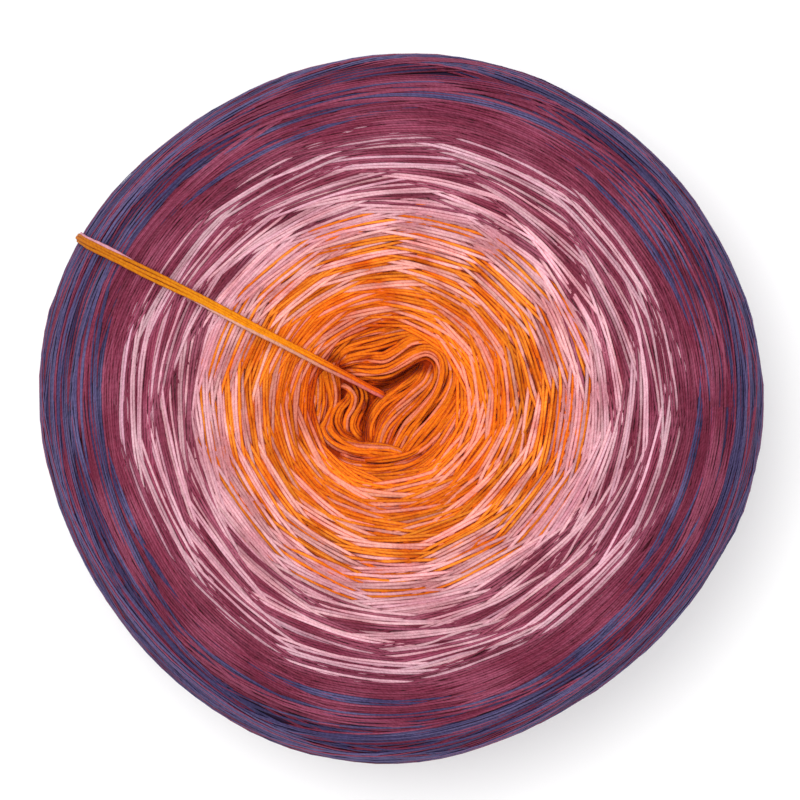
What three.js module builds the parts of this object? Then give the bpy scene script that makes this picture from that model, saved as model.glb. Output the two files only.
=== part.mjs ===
// A yarn cake: a flat-ended ball of yarn wound without a core, its inner end drawn over the top and the rim.
// Millimetres, +Z up. The origin is the middle of the base, where the cake rests.

import * as THREE from "three";

// The cake's overall form.
const cakeRadius = 72;
const cakeHeight = 62;
const squareness = 5; // of the rounded section, where 2 is an ellipse and more is squarer
const middleHeight = cakeHeight / 2;
const shoulderRadius = 0.9 * cakeRadius; // where the top face turns into the side

// The weight of the yarn presses the lower end flat.
const pressedDepth = 1;
const baseDimpleRadius = 13;
const baseDimpleDepth = 3;

// The outline is a little uneven: so many waves round the cake, their depth, and the bearing of a crest.
const outlineWaves = [
  { cycles: 1, depth: 0.5, crestDeg: 119 },
  { cycles: 2, depth: 0.9, crestDeg: 18 },
  { cycles: 3, depth: 0.7, crestDeg: 22 },
  { cycles: 4, depth: 0.8, crestDeg: 79 },
];

// The core has sunk where the winder's spindle was, a little off the middle.
const coreCentre = { x: -4.4, y: 1.8 };
const coreDepth = 9;
const coreSpread = 17;

// Bundles of yarn that stand up in the collapsed core, along their middle lines.
const coreBundles = [
  {
    name: "outer hook",
    width: 5.5,
    height: 2.4,
    line: [
      [-9, 8.5],
      [-1, 11.8],
      [7, 13.3],
      [11.2, 8.5],
      [9.4, 2.6],
    ],
  },
  {
    name: "inner hook",
    width: 3.6,
    height: 1.7,
    line: [
      [-8.5, 6.9],
      [-2, 6.8],
      [4.6, 10.2],
      [6.4, 7.2],
    ],
  },
  {
    name: "tongue",
    width: 8.5,
    height: 3.2,
    line: [
      [8.8, 7.5],
      [6.2, 3.6],
      [2, -0.8],
      [-2.2, -6],
    ],
  },
  {
    name: "curl",
    width: 3.4,
    height: 2.2,
    line: [
      [-11, 4],
      [-10.2, 0.6],
      [-12.2, -3.6],
      [-9, -7.6],
      [-1.5, -8.3],
    ],
  },
  {
    name: "inner curl",
    width: 2.4,
    height: 1.2,
    line: [
      [-7.8, 3.4],
      [-7, 0],
      [-8.4, -4.6],
    ],
  },
  {
    name: "left ring",
    width: 4.4,
    height: 2.1,
    line: [
      [-14.5, 9],
      [-16.4, 0],
      [-14, -8],
      [-6, -12.6],
      [3, -12],
    ],
  },
  {
    name: "right ring",
    width: 4.4,
    height: 2.1,
    line: [
      [9, 15.8],
      [14.6, 6],
      [12, -4.5],
      [3.5, -11],
    ],
  },
  {
    name: "upper ring",
    width: 4,
    height: 1.9,
    line: [
      [-14, 10.4],
      [-5.5, 15],
      [4, 17],
      [11.5, 14.2],
    ],
  },
];

// Creases and pockets between those bundles.
const coreCreases = [
  {
    name: "long crease",
    width: 3.2,
    depth: 4,
    line: [
      [-4.6, 3.4],
      [-0.6, 5.6],
      [3.4, 8],
    ],
  },
  {
    name: "upper pocket",
    width: 2,
    depth: 1.6,
    line: [
      [-12, 7.6],
      [-6, 10],
    ],
  },
  {
    name: "left pocket",
    width: 2.2,
    depth: 2,
    line: [
      [-11.8, 3.2],
      [-11.4, 1.6],
    ],
  },
  {
    name: "low pocket",
    width: 2.4,
    depth: 3,
    line: [
      [-6.6, 0.6],
      [-7.2, -5.8],
    ],
  },
  {
    name: "lower crease",
    width: 2,
    depth: 1.6,
    line: [
      [-10, -10],
      [-4, -11.2],
      [4, -9.4],
    ],
  },
];

// Passes of yarn cross on the top and on the side as two families of low ridges. Those on the top lie between
// the core and the rim, and those on the side fade towards both ends.
const topRidges = { height: 0.25, pitch: 9, arms: 5, starts: 20, full: 28, fades: 58, gone: 70 };
const sideRidges = { height: 0.25, pitch: 21, arms: 9, fades: 15, gone: 25 };

// A bundle or crease is so sharp across, and tapers over this share of its line at each end.
const bundleSharpness = 1.5;
const bundleTaper = 0.2;
const bundleSamples = 40;

// The mesh: so many columns round the cake, and rows along its section.
const columns = 88;
const coreRows = 22;
const coreRowsRadius = 17;
const faceRows = 18;
const sideRows = 13;
const footRows = 7;

// The inner end is four threads side by side, built as a round tube. Its route leaves the pit of the core,
// runs straight over the top, turns down over the rim, and stops where the outer turns cover it.
const endDiameter = 1.6;
const endSides = 8;
const endSteps = 64;
const endRoute = [
  [-4.2, 2.7, 54.1],
  [-6, 3.6, 54.6],
  [-9.5, 5.5, 56],
  [-12.2, 6.9, 57.6],
  [-14.8, 8.2, 59.1],
  [-18.4, 10.1, 59.9],
  [-21.9, 11.9, 61],
  [-25.5, 13.8, 62.3],
  [-29, 15.6, 62.7],
  [-32.6, 17.5, 63.1],
  [-36.1, 19.3, 63],
  [-39.7, 21.2, 62.9],
  [-43.2, 23, 62.6],
  [-46.8, 24.9, 62],
  [-50.3, 26.7, 61.5],
  [-53.9, 28.6, 60.2],
  [-57.4, 30.4, 59],
  [-59.2, 31.3, 57.8],
  [-61.2, 32.3, 56.1],
  [-63.4, 33.4, 53.6],
  [-64.9, 34.3, 50.2],
  [-65.6, 34.7, 46],
  [-65.7, 34.7, 42],
  [-66, 34.8, 37],
  [-66.1, 34.9, 32],
  [-66, 34.8, 27],
  [-65.8, 34.8, 23],
  [-65.7, 34.7, 20],
];

const yarn = {
  cake: { color: 0x9e4662, roughness: 0.85, metalness: 0 },
  end: { color: 0xe8870f, roughness: 0.8, metalness: 0 },
};

const smooth = (low, high, value) => THREE.MathUtils.smoothstep(value, low, high);

// How far the outline stands out or draws in at a bearing.
function unevenness(angle) {
  let sum = 0;
  for (const { cycles, depth, crestDeg } of outlineWaves) {
    sum += depth * Math.cos(cycles * (angle - THREE.MathUtils.degToRad(crestDeg)));
  }
  return sum;
}

// The section's height over the middle, at a radius, and its radius at a height over or under the middle.
function sectionHeight(radius, halfHeight) {
  return halfHeight * (1 - (radius / cakeRadius) ** squareness) ** (1 / squareness);
}

function sectionRadius(height, halfHeight) {
  return cakeRadius * (1 - (Math.abs(height) / halfHeight) ** squareness) ** (1 / squareness);
}

// A line through a row's points, with the share of its length at each sample, to measure distances from.
function sampledLine({ line }) {
  const curve = new THREE.SplineCurve(line.map(([x, y]) => new THREE.Vector2(x, y)));
  const points = curve.getPoints(bundleSamples);
  return points.map((point, i) => ({ point, along: i / (points.length - 1) }));
}

const bundleLines = coreBundles.map((row) => ({ ...row, samples: sampledLine(row) }));
const creaseLines = coreCreases.map((row) => ({ ...row, samples: sampledLine(row) }));

// 1 on a row's line, falling to 0 at half its width, and to a half at its ends.
function nearness(row, x, y) {
  let best = 0;
  for (const { point, along } of row.samples) {
    const away = Math.hypot(x - point.x, y - point.y) / (row.width / 2);
    if (away >= 1) continue;
    const ends = smooth(-bundleTaper, bundleTaper, along) * smooth(-bundleTaper, bundleTaper, 1 - along);
    best = Math.max(best, ends * Math.cos((away * Math.PI) / 2) ** bundleSharpness);
  }
  return best;
}

// How far the core's surface stands above or below a plain top, at a place on it.
function coreRelief(x, y) {
  const away = Math.hypot(x - coreCentre.x, y - coreCentre.y) / coreSpread;
  const sunk = coreDepth * Math.exp(-(away ** 2));
  const raised = Math.max(...bundleLines.map((row) => row.height * nearness(row, x, y)));
  const creased = Math.max(...creaseLines.map((row) => row.depth * nearness(row, x, y)));
  return raised - sunk - creased;
}

// Two families of ridges that cross, as spirals on the top or as slanting lines on the side.
function crossing({ height, pitch, arms }, along, angle) {
  const phase = (2 * Math.PI * along) / pitch;
  return height * (Math.cos(phase + arms * angle) + Math.cos(phase - arms * angle));
}

// A point of the top, at a radius from a centre that moves from the core's to the cake's.
function topPoint(radius, angle) {
  const drift = (1 - Math.min(1, radius / shoulderRadius)) ** 2;
  const reach = radius + unevenness(angle) * (radius / cakeRadius) ** 2;
  const x = coreCentre.x * drift + reach * Math.cos(angle);
  const y = coreCentre.y * drift + reach * Math.sin(angle);
  const { starts, full, fades, gone } = topRidges;
  const shown = smooth(starts, full, radius) * (1 - smooth(fades, gone, radius));
  const ridges = shown * crossing(topRidges, radius, angle);
  return [x, y, middleHeight + sectionHeight(radius, middleHeight) + ridges + coreRelief(x, y)];
}

// A point of the side, at a height over the middle.
function sidePoint(height, angle) {
  const halfHeight = height > 0 ? middleHeight : middleHeight + pressedDepth;
  const shown = 1 - smooth(sideRidges.fades, sideRidges.gone, Math.abs(height));
  const ridges = shown * crossing(sideRidges, height, angle);
  const reach = sectionRadius(height, halfHeight) + unevenness(angle) + ridges;
  return [reach * Math.cos(angle), reach * Math.sin(angle), middleHeight + height];
}

// A point of the lower end, which is flat where it rests and has a shallow dimple in its middle.
function footPoint(radius, angle) {
  const reach = radius + unevenness(angle) * (radius / cakeRadius) ** 2;
  const round = middleHeight - sectionHeight(radius, middleHeight + pressedDepth);
  const dimple = baseDimpleDepth * (1 - smooth(0, baseDimpleRadius, radius));
  return [reach * Math.cos(angle), reach * Math.sin(angle), Math.max(0, round) + dimple];
}

// Every row of the mesh from the middle of the top to the middle of the foot, as a function of the bearing.
function meshRows() {
  const rows = [];
  for (let i = 1; i <= coreRows; i++) {
    rows.push((angle) => topPoint((coreRowsRadius * i) / coreRows, angle));
  }
  const faceWidth = shoulderRadius - coreRowsRadius;
  for (let i = 1; i < faceRows; i++) {
    rows.push((angle) => topPoint(coreRowsRadius + (faceWidth * i) / faceRows, angle));
  }
  const upper = sectionHeight(shoulderRadius, middleHeight);
  const lower = -sectionHeight(shoulderRadius, middleHeight + pressedDepth);
  for (let i = 0; i <= sideRows; i++) {
    rows.push((angle) => sidePoint(THREE.MathUtils.lerp(upper, lower, i / sideRows), angle));
  }
  const footWidth = shoulderRadius - baseDimpleRadius;
  for (let i = 1; i <= footRows; i++) {
    rows.push((angle) => footPoint(shoulderRadius - (footWidth * i) / footRows, angle));
  }
  rows.push((angle) => footPoint(baseDimpleRadius / 2, angle));
  return rows;
}

function woundCake() {
  const rows = meshRows();
  const positions = [...topPoint(0, 0)];
  for (const row of rows) {
    for (let c = 0; c < columns; c++) positions.push(...row((2 * Math.PI * c) / columns));
  }
  positions.push(...footPoint(0, 0));
  const last = 1 + rows.length * columns;
  const vertex = (row, column) => 1 + row * columns + (column % columns);
  const index = [];
  for (let c = 0; c < columns; c++) {
    index.push(0, vertex(0, c), vertex(0, c + 1));
    index.push(last, vertex(rows.length - 1, c + 1), vertex(rows.length - 1, c));
  }
  for (let r = 0; r + 1 < rows.length; r++) {
    for (let c = 0; c < columns; c++) {
      index.push(vertex(r, c), vertex(r + 1, c), vertex(r + 1, c + 1));
      index.push(vertex(r, c), vertex(r + 1, c + 1), vertex(r, c + 1));
    }
  }
  const geometry = new THREE.BufferGeometry();
  geometry.setAttribute("position", new THREE.Float32BufferAttribute(positions, 3));
  geometry.setIndex(index);
  geometry.computeVertexNormals();
  const mesh = new THREE.Mesh(geometry, new THREE.MeshStandardMaterial(yarn.cake));
  mesh.name = "wound_cake";
  return mesh;
}

function looseEnd() {
  const route = new THREE.CatmullRomCurve3(endRoute.map((point) => new THREE.Vector3(...point)));
  const section = new THREE.Shape();
  for (let i = 0; i < endSides; i++) {
    const turn = (2 * Math.PI * i) / endSides;
    const x = (endDiameter / 2) * Math.cos(turn);
    const y = (endDiameter / 2) * Math.sin(turn);
    if (i === 0) section.moveTo(x, y);
    else section.lineTo(x, y);
  }
  section.closePath();
  const geometry = new THREE.ExtrudeGeometry(section, { steps: endSteps, extrudePath: route });
  const mesh = new THREE.Mesh(geometry, new THREE.MeshStandardMaterial(yarn.end));
  mesh.name = "loose_end";
  return mesh;
}

const part = new THREE.Group();
part.add(woundCake());
part.add(looseEnd());

export default part;
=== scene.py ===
"""A cake of four-thread yarn seen from straight above, wound thread by thread over its CAD solids.

Sizes and places are in millimetres, +Z up, as in the CAD model. MM turns them into Blender's metres.
"""

import math

import bpy
import numpy as np
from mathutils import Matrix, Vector


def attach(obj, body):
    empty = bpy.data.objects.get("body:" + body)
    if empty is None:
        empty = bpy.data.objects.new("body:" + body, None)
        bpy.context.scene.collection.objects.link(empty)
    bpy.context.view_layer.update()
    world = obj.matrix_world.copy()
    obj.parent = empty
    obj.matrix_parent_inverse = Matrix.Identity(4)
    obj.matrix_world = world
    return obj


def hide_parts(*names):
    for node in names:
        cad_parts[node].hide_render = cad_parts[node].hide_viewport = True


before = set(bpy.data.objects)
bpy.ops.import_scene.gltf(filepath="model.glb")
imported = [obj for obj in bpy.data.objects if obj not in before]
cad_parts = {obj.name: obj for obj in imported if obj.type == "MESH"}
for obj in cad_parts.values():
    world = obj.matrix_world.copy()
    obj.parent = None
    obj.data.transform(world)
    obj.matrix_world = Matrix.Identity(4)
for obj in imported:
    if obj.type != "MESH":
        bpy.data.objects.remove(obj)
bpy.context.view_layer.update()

MM = 0.001
random = np.random.default_rng(21)

# The cake's form, as in the CAD model.
CAKE_RADIUS = 72
CAKE_HEIGHT = 62
SQUARENESS = 5
MIDDLE_HEIGHT = CAKE_HEIGHT / 2
SHOULDER_RADIUS = 0.9 * CAKE_RADIUS
PRESSED_DEPTH = 1
BASE_DIMPLE_RADIUS = 13
BASE_DIMPLE_DEPTH = 3

# The outline's waves round the cake: how many, their depth, and the bearing of a crest in degrees.
OUTLINE_WAVES = [(1, 0.5, 119), (2, 0.9, 18), (3, 0.7, 22), (4, 0.8, 79)]

# The sunk core, with its creases and pockets: width, depth and middle line.
CORE_CENTRE = (-4.4, 1.8)
CORE_DEPTH = 9
CORE_SPREAD = 17
CREASES = [
    {"width": 3.2, "depth": 4, "line": [(-4.6, 3.4), (-0.6, 5.6), (3.4, 8)]},
    {"width": 2, "depth": 1.6, "line": [(-12, 7.6), (-6, 10)]},
    {"width": 2.2, "depth": 2, "line": [(-11.8, 3.2), (-11.4, 1.6)]},
    {"width": 2.4, "depth": 3, "line": [(-6.6, 0.6), (-7.2, -5.8)]},
    {"width": 2, "depth": 1.6, "line": [(-10, -10), (-4, -11.2), (4, -9.4)]},
]

# The yarn is four threads side by side. One thread after another changes colour along it. The threads are
# soft and wide near the core, and drawn thinner towards the rim.
THREADS = 4
THREAD_ALONG = [18, 34, 50, 62]
THREAD_WIDTHS = [0.72, 0.66, 0.58, 0.55]
FLATNESS = 0.64  # a thread's thickness as a share of its width
LANE_SHARE = 0.9  # the pitch of the threads side by side, as a share of their width

# The threads' colours at each length along the section: orange, pale pink, wine and blue, and golden in the
# loose end. Near the core the orange's darker, redder tone is partly painted shade, and the pale pink's salmon
# tone partly painted reflection of the orange light round it.
COLOUR_ALONG = [12, 26, 40, 50, 58, 68]
COLOURS = {
    "O": ["DC6E14", "E48026", "E88A34", "E88A34", "E88A34", "E88A34"],
    "P": ["DE7E5E", "E69E90", "DAA6B0", "D2A4B0", "CAA2AE", "C49EAC"],
    "W": ["A05A6A", "9E5868", "9C5668", "964E64", "8C465C", "86425A"],
    "B": ["565072"] * 4 + ["5A5276"] * 2,
    "G": ["D88418"] * 6,
}

# How many of the four threads are orange, wine or blue where a pass comes nearest to the core, from the core
# outwards. The rest are pale pink.
ORANGE_ALONG = [14, 17, 19, 22, 25, 28, 31, 34, 37, 39, 40.5]
ORANGE_THREADS = [3, 2.9, 2.4, 2.3, 2.4, 2.1, 1.8, 1.5, 1.1, 0.5, 0]
WINE_ALONG = [35, 38, 41, 44, 47, 50, 53, 56, 60, 65]
WINE_THREADS = [0, 0.3, 0.95, 1.25, 1.75, 2.65, 3.4, 3.75, 3.9, 4]
BLUE_ALONG = [55, 59, 62, 65, 68, 73, 80]
BLUE_THREADS = [0, 0.35, 0.75, 1.2, 1.9, 2.5, 2.7]
BLUE_TOGETHER = 3  # threads that turn blue at once
WINE_SWITCHES = 7  # how often wine threads come singly and in pairs by turns, as a pass's chance goes to 1

# Wound layers are tracked on a chart of the cake's surface: so many columns round it, and rows this wide.
COLUMNS = 720
COLUMN = 2 * math.pi / COLUMNS
ROW = 0.25

SETTLED = 0.28  # the share of its thickness that a thread settles into what carries it
TAUT_REACH = 1.2  # how far a taut thread spans a dip on either side
BURIED = 0.45  # how deep under the others a thread is out of sight
NEAR_ROWS = 2  # rows of the chart that a thread covers on either side of its middle
END_DIVE = 6  # how far from its ends a strand comes up from under the others
JOIN_REACH = 8  # how far a turn round the side takes to part from the height of the one before

# The first layers lie this deep under the finished surface of the core, which reaches so far out.
CORE_LAYERS = 1.2
CORE_EDGE = 20

FACE_SAMPLES = 700
SIDE_SAMPLES = 400  # on each half of the height
SPLINE_SAMPLES = 24  # between two points
NORMAL_BLUR = 1.5
CREASE_STEP = 0.3
CREASE_SHARPNESS = 1.5
TINY = 1e-9


def smooth(low, high, value):
    share = np.clip((value - low) / (high - low), 0, 1)
    return share * share * (3 - 2 * share)


def linear_colour(code):
    """A hexadecimal sRGB colour as linear red, green and blue."""
    channels = np.array([int(code[i : i + 2], 16) / 255 for i in (0, 2, 4)])
    return np.where(channels <= 0.04045, channels / 12.92, ((channels + 0.055) / 1.055) ** 2.4)


def unevenness(bearing):
    """How far out of round the outline is."""
    waves = [(cycles, depth, math.radians(crest)) for cycles, depth, crest in OUTLINE_WAVES]
    return sum(depth * np.cos(cycles * (bearing - crest)) for cycles, depth, crest in waves)


def section_height(radius, half_height):
    return half_height * (1 - (radius / CAKE_RADIUS) ** SQUARENESS) ** (1 / SQUARENESS)


def section_radius(height, half_height):
    return CAKE_RADIUS * (1 - (np.abs(height) / half_height) ** SQUARENESS) ** (1 / SQUARENESS)


def make_section():
    """The cake's section from the middle of its top to the middle of its foot, in steps of one row."""
    face = np.linspace(0, SHOULDER_RADIUS, FACE_SAMPLES)
    upper = section_height(SHOULDER_RADIUS, MIDDLE_HEIGHT)
    lower = section_height(SHOULDER_RADIUS, MIDDLE_HEIGHT + PRESSED_DEPTH)
    above = np.linspace(upper, 0, SIDE_SAMPLES)[1:]
    below = np.linspace(0, lower, SIDE_SAMPLES)[1:]
    foot = face[::-1][1:]
    radius = np.concatenate(
        [
            face,
            section_radius(above, MIDDLE_HEIGHT),
            section_radius(below, MIDDLE_HEIGHT + PRESSED_DEPTH),
            foot,
        ]
    )
    under = MIDDLE_HEIGHT - section_height(foot, MIDDLE_HEIGHT + PRESSED_DEPTH)
    dimple = BASE_DIMPLE_DEPTH * (1 - smooth(0, BASE_DIMPLE_RADIUS, foot))
    height = np.concatenate(
        [
            MIDDLE_HEIGHT + section_height(face, MIDDLE_HEIGHT),
            MIDDLE_HEIGHT + above,
            MIDDLE_HEIGHT - below,
            np.maximum(0, under) + dimple,
        ]
    )
    steps = np.hypot(np.diff(radius), np.diff(height))
    along = np.concatenate([[0], np.cumsum(steps)])
    even = np.arange(0, along[-1], ROW)
    return even, np.interp(even, along, radius), np.interp(even, along, height)


ALONG, RADII, HEIGHTS = make_section()
LENGTH = ALONG[-1]
ROWS = len(ALONG)
WIDEST = ALONG[np.argmax(RADII)]


def blur_rows(values, spread):
    """Values along the section, averaged over about that length."""
    apart = (ALONG[:, None] - ALONG[None, :]) / spread
    weights = np.exp(-0.5 * apart**2)
    return values @ (weights / weights.sum(0))


def blur_columns(values, spread):
    """Values round the cake, averaged over about that angle."""
    turn = np.arange(COLUMNS) * COLUMN
    apart = (turn[:, None] - turn[None, :] + math.pi) % (2 * math.pi) - math.pi
    weights = np.exp(-0.5 * (apart / spread) ** 2)
    return (weights / weights.sum(1, keepdims=True)) @ values


NORMAL_OUT = blur_rows(-np.gradient(HEIGHTS, ROW), NORMAL_BLUR)
NORMAL_UP = blur_rows(np.gradient(RADII, ROW), NORMAL_BLUR)


def core_drift(radius):
    """How much of the core's offset from the middle a ring of the top takes part in."""
    return np.clip(1 - radius / SHOULDER_RADIUS, 0, 1) ** 2


def sunk(x, y):
    """How deep the plain bowl of the core is."""
    away = np.hypot(x - CORE_CENTRE[0], y - CORE_CENTRE[1]) / CORE_SPREAD
    return CORE_DEPTH * np.exp(-(away**2))


def spline(points, step):
    """A Catmull-Rom curve through points, sampled at about that step, with the share of it at each sample."""
    points = np.array(points, float)
    padded = np.vstack([2 * points[0] - points[1], points, 2 * points[-1] - points[-2]])
    pieces = []
    for p0, p1, p2, p3 in zip(padded, padded[1:], padded[2:], padded[3:]):
        t = np.linspace(0, 1, SPLINE_SAMPLES, endpoint=False)[:, None]
        pieces.append(
            0.5
            * (
                2 * p1
                + (p2 - p0) * t
                + (2 * p0 - 5 * p1 + 4 * p2 - p3) * t**2
                + (3 * p1 - p0 - 3 * p2 + p3) * t**3
            )
        )
    curve = np.vstack(pieces + [points[-1:]])
    length = np.concatenate([[0], np.cumsum(np.linalg.norm(np.diff(curve, axis=0), axis=1))])
    count = max(3, int(length[-1] / step) + 1)
    even = np.linspace(0, length[-1], count)
    line = np.stack([np.interp(even, length, curve[:, k]) for k in range(points.shape[1])], axis=1)
    return line, even


def crease_depth(x, y):
    """How much deeper than the plain bowl the core is, in its creases."""
    deepest = np.zeros_like(x)
    for crease in CREASES:
        line, _ = spline(crease["line"], CREASE_STEP)
        away = np.full_like(x, np.inf)
        for px, py in line:
            away = np.minimum(away, np.hypot(x - px, y - py))
        share = np.clip(away / (crease["width"] / 2), 0, 1)
        depth = crease["depth"] * np.cos(share * math.pi / 2) ** CREASE_SHARPNESS
        deepest = np.maximum(deepest, depth)
    return deepest


def place(bearing, along, lift):
    """Points that stand so high over the finished surface, and the surface's normals there."""
    bearing, along = np.broadcast_arrays(bearing, along)
    radius = np.interp(along, ALONG, RADII)
    out = np.interp(along, ALONG, NORMAL_OUT)
    up = np.interp(along, ALONG, NORMAL_UP)
    on_top = along < WIDEST
    drift = np.where(on_top, core_drift(radius), 0)
    reach = radius + unevenness(bearing) * (radius / CAKE_RADIUS) ** 2 + lift * out
    x = CORE_CENTRE[0] * drift + reach * np.cos(bearing)
    y = CORE_CENTRE[1] * drift + reach * np.sin(bearing)
    z = np.interp(along, ALONG, HEIGHTS) + lift * up - np.where(on_top, sunk(x, y), 0)
    normals = np.stack([out * np.cos(bearing), out * np.sin(bearing), up], axis=-1)
    return np.stack([x, y, z], axis=-1), normals


def taut(heights, reach):
    """Heights along threads that are pulled taut over what they cross. reach is in samples."""
    reach = max(1, reach)
    windows = np.lib.stride_tricks.sliding_window_view
    padded = np.pad(heights, ((0, 0), (reach, reach)), mode="edge")
    raised = windows(padded, 2 * reach + 1, axis=1).max(-1)
    kernel = np.hanning(2 * reach + 3)[1:-1]
    padded = np.pad(raised, ((0, 0), (reach, reach)), mode="edge")
    return windows(padded, 2 * reach + 1, axis=1) @ (kernel / kernel.sum())


def recipe(along, chance=0.5):
    """The colours of the four threads where a pass comes nearest to the core."""
    blue = BLUE_TOGETHER * int(np.interp(along, BLUE_ALONG, BLUE_THREADS) / BLUE_TOGETHER + chance)
    together = 1 + int(WINE_SWITCHES * chance % 2)
    wine = together * int(np.interp(along, WINE_ALONG, WINE_THREADS) / together + chance)
    orange = int(np.interp(along, ORANGE_ALONG, ORANGE_THREADS) + chance)
    return ("B" * blue + "W" * max(wine - blue, 0) + "O" * orange + "P" * THREADS)[:THREADS]


def thread_width(along):
    return np.interp(along, THREAD_ALONG, THREAD_WIDTHS)


# Threads wobble in waves, each with its size and its length, and at times two of them swap places.
LANE_WAVES = [(0.1, 2.3), (0.1, 4.1)]
LANES_VARY = (0.92, 1.06)
SWAPS = 0.4
SWAP_REACH = 6


def wobbles(distance, waves, phases):
    return sum(size * np.sin(distance / length + phases[:, k]) for k, (size, length) in enumerate(waves))


def lane_places(distance, order):
    """How far each of the four threads lies off the pass's middle."""
    lanes = np.argsort(order)[:, None] - (THREADS - 1) / 2
    lanes = lanes + np.zeros_like(distance)
    if random.random() < SWAPS:
        first, second = random.permutation(THREADS)[:2]
        where = random.uniform(distance[0], distance[-1])
        swapped = smooth(where - SWAP_REACH, where + SWAP_REACH, distance)
        before = lanes[[first, second]].copy()
        lanes[first] += (before[1] - before[0]) * swapped
        lanes[second] += (before[0] - before[1]) * swapped
    phases = random.uniform(0, 2 * math.pi, (THREADS, 2, 1))
    return (lanes + wobbles(distance, LANE_WAVES, phases)) * LANE_SHARE * random.uniform(*LANES_VARY)


class Winding:
    """Everything wound so far, as heights over a chart of the surface, and the strands that made it."""

    def __init__(self):
        self.top = np.zeros((COLUMNS, ROWS))
        self.strands = []

    def lay(self, columns, along, width, letters, group, dive=(END_DIVE, END_DIVE), joins=None):
        """Lays threads on what is wound so far and returns their heights. along has a row for each."""
        thick = FLATNESS * width
        around = columns % COLUMNS
        radius = np.interp(along.mean(0), ALONG, RADII)
        step = max(radius.mean(), 1) * COLUMN
        row = np.clip((along / ROW).astype(int), NEAR_ROWS, ROWS - 1 - NEAR_ROWS)
        support = np.max([self.top[around, row + k] for k in (-1, 0, 1)], axis=0)
        lift = taut(support, round(TAUT_REACH / step)) - SETTLED * thick
        if joins is not None:
            ease = smooth(0, JOIN_REACH / step, np.arange(len(columns)))
            lift = joins[:, None] * (1 - ease) + lift * ease
        distance = np.cumsum(radius * COLUMN)
        sinks = np.zeros(len(columns))
        if dive[0]:
            sinks += 1 - smooth(0, dive[0], distance)
        if dive[1]:
            sinks += 1 - smooth(0, dive[1], distance[-1] - distance)
        lift = lift - sinks
        slope = np.gradient(along, axis=1) / (radius * COLUMN)
        half = width / 2 * np.sqrt(1 + slope**2)
        for k in range(-NEAR_ROWS, NEAR_ROWS + 1):
            away = np.abs((row + k + 0.5) * ROW - along) / half
            crest = lift + thick / 2 * np.sqrt(np.clip(1 - away**2, 0, 1))
            np.maximum.at(self.top, (around + np.zeros_like(row), row + k), np.where(away < 1, crest, 0))
        for lane in range(len(along)):
            self.strands.append((group, letters[lane], width, columns, along[lane], lift[lane]))
        return lift


winding = Winding()


class CoreBed:
    """Heights of what lies in the core, on a square grid over its plain bowl with creases."""

    CELL = 0.2
    REACH = 24
    NEAR = [(a, b) for a in range(-2, 3) for b in range(-2, 3)]
    TAUT_CELLS = 5
    DIVE_DEPTH = 2

    def __init__(self):
        size = int(2 * self.REACH / self.CELL)
        self.top = np.zeros((size, size))
        self.strands = []

    def cell(self, points):
        return np.clip(((points + self.REACH) / self.CELL).astype(int), 2, len(self.top) - 3)

    def lay(self, lines, crown, letters, dive):
        """Lays threads along lines, an array of threads by samples by x and y."""
        thick = FLATNESS * CORE_THREAD
        cell = self.cell(lines)
        i, j = cell[..., 0], cell[..., 1]
        support = np.max([self.top[i + a, j + b] for a, b in self.NEAR if abs(a) + abs(b) < 3], axis=0)
        lift = taut(np.maximum(support, crown), self.TAUT_CELLS) - SETTLED * thick - self.DIVE_DEPTH * dive
        for a, b in self.NEAR:
            centre = (np.stack([i + a, j + b], axis=-1) + 0.5) * self.CELL - self.REACH
            away = np.linalg.norm(centre - lines, axis=-1) / (CORE_THREAD / 2)
            crest = lift + thick / 2 * np.sqrt(np.clip(1 - away**2, 0, 1))
            np.maximum.at(self.top, (i + a, j + b), np.where(away < 1, crest, 0))
        for lane in range(len(lines)):
            self.strands.append((letters[lane], lines[lane], lift[lane]))


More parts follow.
